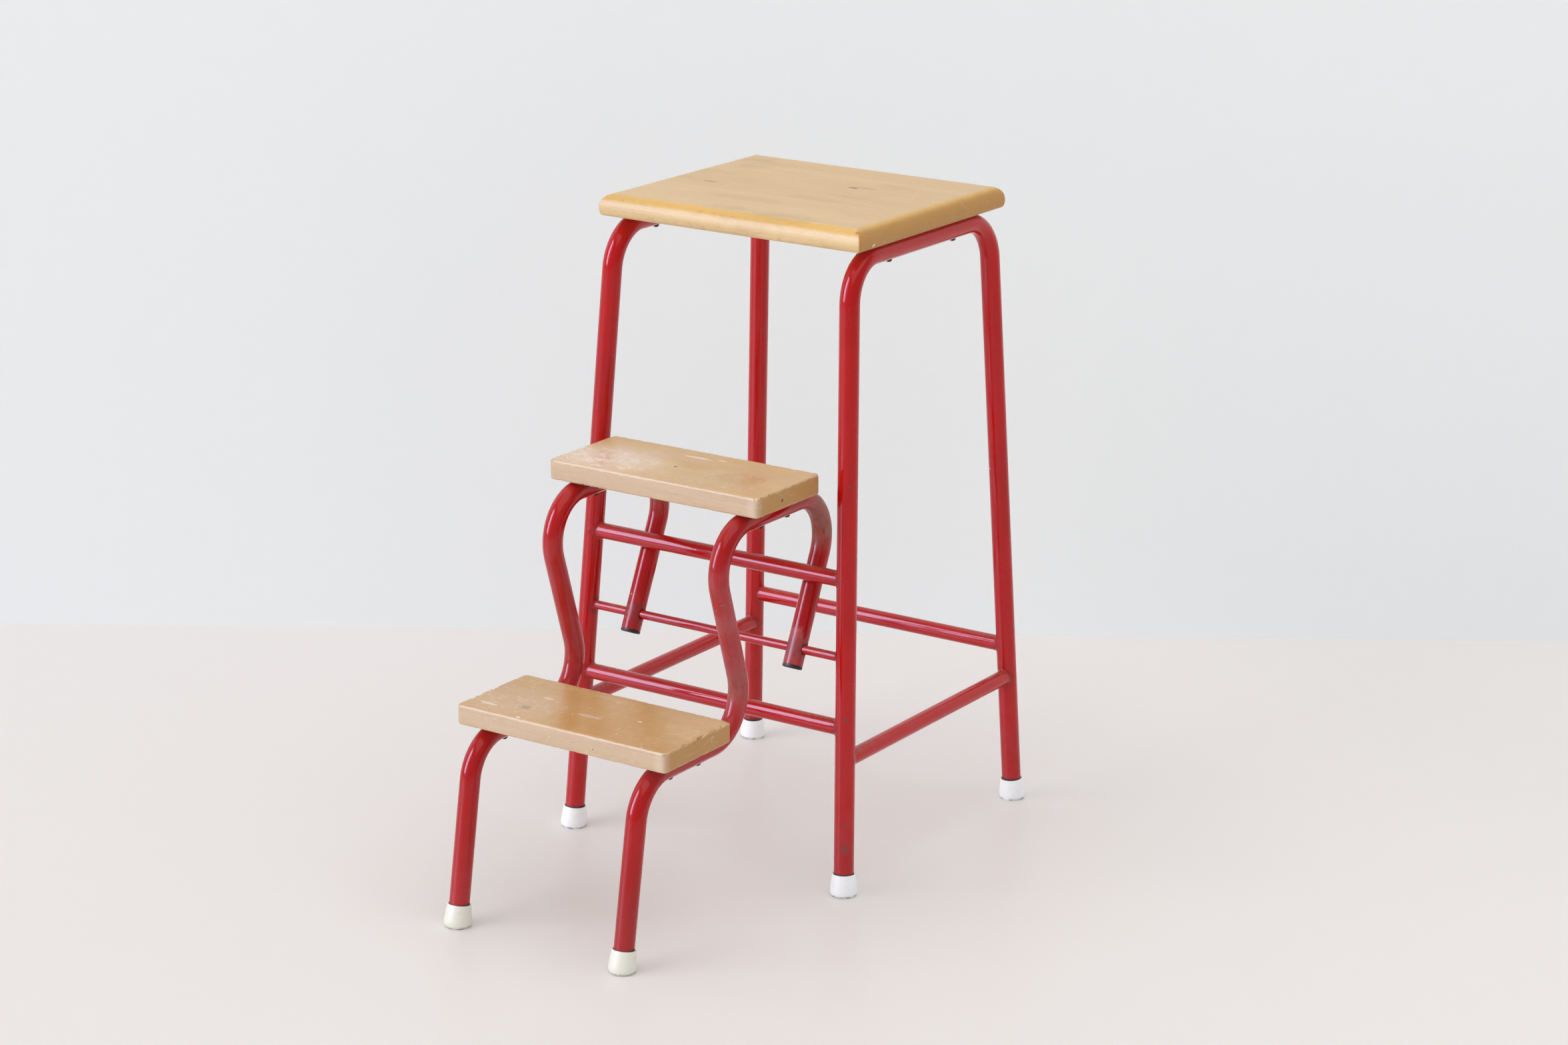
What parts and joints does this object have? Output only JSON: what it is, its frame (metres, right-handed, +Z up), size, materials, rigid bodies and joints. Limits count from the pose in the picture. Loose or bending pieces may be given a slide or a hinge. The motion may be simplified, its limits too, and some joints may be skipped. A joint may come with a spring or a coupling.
{
  "type": "folding step stool",
  "caption": "Wooden-seated stool on bent tube legs, with a hinged step unit that swings out in front and folds up under the seat.",
  "frame": {"origin": "on the floor, under the middle of the stool with its steps swung out", "axes": "+Z up, +X to the right as seen from the steps, the steps face -Y"},
  "size_m": [0.3576, 0.6396, 0.66],
  "materials": {
    "seat_wood": "clear lacquer, worn at the edges",
    "step_wood": "clear lacquer, scuffed and chipped",
    "red_paint": "gloss enamel with scuffs",
    "stool_cap_plastic": "bluish white, grimy at the base",
    "step_cap_plastic": "yellowed white, grimy at the base",
    "plug_plastic": "black, matte",
    "screw_steel": "dull, darkened"
  },
  "bodies": {
    "stool_frame": {"seat_board": "seat_wood", "left_side_frame": "red_paint", "right_side_frame": "red_paint", "upper_front_rail": "red_paint", "pivot_rod": "red_paint", "lower_front_rail": "red_paint", "rear_rail": "red_paint", "left_side_rail": "red_paint", "right_side_rail": "red_paint", "front_left_foot": "stool_cap_plastic", "front_right_foot": "stool_cap_plastic", "rear_left_foot": "stool_cap_plastic", "rear_right_foot": "stool_cap_plastic", "seat_screw_1": "screw_steel", "seat_screw_2": "screw_steel", "seat_screw_3": "screw_steel", "seat_screw_4": "screw_steel"},
    "step_unit": {"left_step_tube": "red_paint", "right_step_tube": "red_paint", "lower_step_board": "step_wood", "upper_step_board": "step_wood", "left_step_foot": "step_cap_plastic", "right_step_foot": "step_cap_plastic", "left_tail_plug": "plug_plastic", "right_tail_plug": "plug_plastic", "lower_step_screw_1": "screw_steel", "lower_step_screw_2": "screw_steel", "lower_step_screw_3": "screw_steel", "lower_step_screw_4": "screw_steel", "upper_step_screw_1": "screw_steel", "upper_step_screw_2": "screw_steel", "upper_step_screw_3": "screw_steel", "upper_step_screw_4": "screw_steel"}
  },
  "joints": [
    {"name": "step_unit_fold", "type": "hinge", "parent": "stool_frame", "child": "step_unit", "pos_m": [0, -0.01264, 0.2393], "axis": [-1, 0, 0], "range_deg": [0, 144]}
  ]
}
